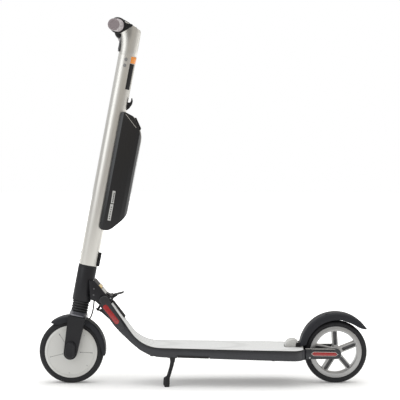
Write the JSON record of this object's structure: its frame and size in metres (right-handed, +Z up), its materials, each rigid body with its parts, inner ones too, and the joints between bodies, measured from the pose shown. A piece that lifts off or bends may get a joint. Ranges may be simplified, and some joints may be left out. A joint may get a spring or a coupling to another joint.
{
  "type": "electric kick scooter",
  "caption": "Folding electric kick scooter with a stem battery, a front hub motor, a spoked rear wheel, a fender brake and a side kickstand.",
  "frame": {"origin": "on the floor at the middle of the bounding box", "axes": "+Z up, the scooter faces -X, its left side (kickstand and brake lever) is -Y"},
  "size_m": [1.0175, 0.4278, 1.1244],
  "materials": {
    "silver_aluminium": "satin anodised",
    "black_plastic": "fine grained",
    "black_paint": "satin powder coat",
    "graphite_aluminium": "satin paint",
    "grey_silicone": "matt silicone",
    "grip_rubber": "soft touch",
    "tyre_rubber": "matt",
    "pale_cover": "satin",
    "rim_aluminium": "cast and machined",
    "red_lens": "polished",
    "clear_lens": "polished",
    "steel": "ground",
    "battery_wrap": "film",
    "black_glass": "polished"
  },
  "bodies": {
    "deck": {"deck_frame": "graphite_aluminium", "deck_mat": "grey_silicone", "underside_cover": "black_plastic", "main_battery": "battery_wrap", "motor_controller": "steel", "charge_port": "black_plastic", "neck_cover_left": "black_plastic", "neck_cover_right": "black_plastic", "neck_reflector_left": "red_lens", "neck_reflector_right": "red_lens", "rear_arm_left": "graphite_aluminium", "rear_arm_right": "graphite_aluminium", "rear_reflector_left": "red_lens", "rear_reflector_right": "red_lens", "rear_axle": "steel", "kickstand_bracket": "black_plastic", "fold_hinge_pin": "steel", "fender_hinge_cover": "grey_silicone"},
    "charge_cap": {"charge_port_cap": "black_plastic"},
    "rear_wheel": {"rear_tyre": "tyre_rubber", "rear_rim": "rim_aluminium", "rear_bearing_left": "steel", "rear_bearing_right": "steel"},
    "fender": {"rear_fender": "graphite_aluminium", "fender_brake_pad": "black_plastic", "tail_light": "red_lens"},
    "kickstand": {"kickstand_leg": "black_paint"},
    "pedal": {"fold_pedal": "black_plastic"},
    "hook": {"latch_hook": "steel"},
    "neck": {"neck_casting": "black_paint", "lower_headset_bearing": "steel", "upper_headset_bearing": "steel"},
    "steering": {"steering_column": "steel", "stem_tube": "silver_aluminium", "stem_cable_cover": "black_plastic", "stem_hook": "black_plastic", "stem_head": "silver_aluminium", "headlight": "clear_lens", "dashboard": "black_glass", "handlebar": "silver_aluminium", "brake_housing": "black_plastic", "throttle_housing": "black_plastic", "grip_left": "grip_rubber", "grip_right": "grip_rubber", "external_battery": "black_plastic", "suspension_bellows": "black_plastic", "suspension_spring": "steel", "motor_cable": "black_plastic"},
    "brake_lever": {"brake_lever": "black_plastic"},
    "throttle_lever": {"throttle_lever": "black_plastic"},
    "power_button": {"power_button": "silver_aluminium"},
    "battery_latch": {"battery_latch": "black_plastic"},
    "fork": {"fork": "black_paint", "front_fender": "graphite_aluminium", "front_axle": "steel", "motor_stator": "steel"},
    "front_wheel": {"front_tyre": "tyre_rubber", "motor_shell": "pale_cover", "motor_cover": "pale_cover"}
  },
  "joints": [
    {"name": "fold", "type": "hinge", "parent": "deck", "child": "neck", "pos_m": [-0.286, 0, 0.267], "axis": [0, 1, 0], "range_deg": [0, 86]},
    {"name": "steer", "type": "hinge", "parent": "neck", "child": "steering", "pos_m": [-0.4096, 0, 0.0995], "axis": [0.1891, 0, 0.982], "range_deg": [-55, 55], "deforming": ["motor_cable"]},
    {"name": "suspension", "type": "slide", "parent": "steering", "child": "fork", "axis": [0.1891, 0, 0.982], "range_m": [0, 0.015], "stiffness_N_per_m": 12000, "springref_m": -0.008, "deforming": ["suspension_spring", "suspension_bellows"]},
    {"name": "front_wheel_spin", "type": "hinge", "parent": "fork", "child": "front_wheel", "pos_m": [-0.4096, 0, 0.0995], "axis": [0, 1, 0], "continuous": true},
    {"name": "rear_wheel_spin", "type": "hinge", "parent": "deck", "child": "rear_wheel", "pos_m": [0.4094, 0, 0.097], "axis": [0, 1, 0], "continuous": true},
    {"name": "kickstand_swing", "type": "hinge", "parent": "deck", "child": "kickstand", "pos_m": [-0.095, -0.057, 0.08], "axis": [0, -1, 0], "range_deg": [0, 85]},
    {"name": "fender_brake", "type": "hinge", "parent": "deck", "child": "fender", "pos_m": [0.278, 0, 0.1195], "axis": [0, 1, 0], "range_deg": [0, 3], "stiffness_Nm_per_rad": 20, "springref_deg": -6.88},
    {"name": "pedal_press", "type": "hinge", "parent": "deck", "child": "pedal", "pos_m": [-0.286, 0, 0.267], "axis": [0, 1, 0], "range_deg": [0, 18], "stiffness_Nm_per_rad": 0.5, "springref_deg": -17.19},
    {"name": "hook_release", "type": "hinge", "parent": "deck", "child": "hook", "pos_m": [-0.27853, 0, 0.19668], "axis": [0, -1, 0], "range_deg": [0, 12]},
    {"name": "charge_cap_flap", "type": "hinge", "parent": "deck", "child": "charge_cap", "pos_m": [-0.06, 0.0835, 0.1145], "axis": [1, 0, 0], "range_deg": [0, 110]},
    {"name": "brake_press", "type": "hinge", "parent": "steering", "child": "brake_lever", "pos_m": [-0.2568, -0.095, 1.09485], "axis": [0.0341, 0.996, 0.0822], "range_deg": [0, 30], "stiffness_Nm_per_rad": 0.2, "springref_deg": -11.46},
    {"name": "throttle_press", "type": "hinge", "parent": "steering", "child": "throttle_lever", "pos_m": [-0.2568, 0.095, 1.09485], "axis": [-0.0341, 0.996, -0.0822], "range_deg": [0, 30], "stiffness_Nm_per_rad": 0.2, "springref_deg": -11.46},
    {"name": "power_press", "type": "slide", "parent": "steering", "child": "power_button", "axis": [-0.4881, 0, -0.8728], "range_m": [0, 0.001], "stiffness_N_per_m": 400, "springref_m": -0.001},
    {"name": "battery_release", "type": "hinge", "parent": "steering", "child": "battery_latch", "pos_m": [-0.21154, 0, 0.81862], "axis": [0, -1, 0], "range_deg": [0, 20], "stiffness_Nm_per_rad": 0.1, "springref_deg": -17.19}
  ],
  "couplings": [
    {"joint": "hook_release", "follows": "pedal_press", "ratio": 0.66667}
  ]
}
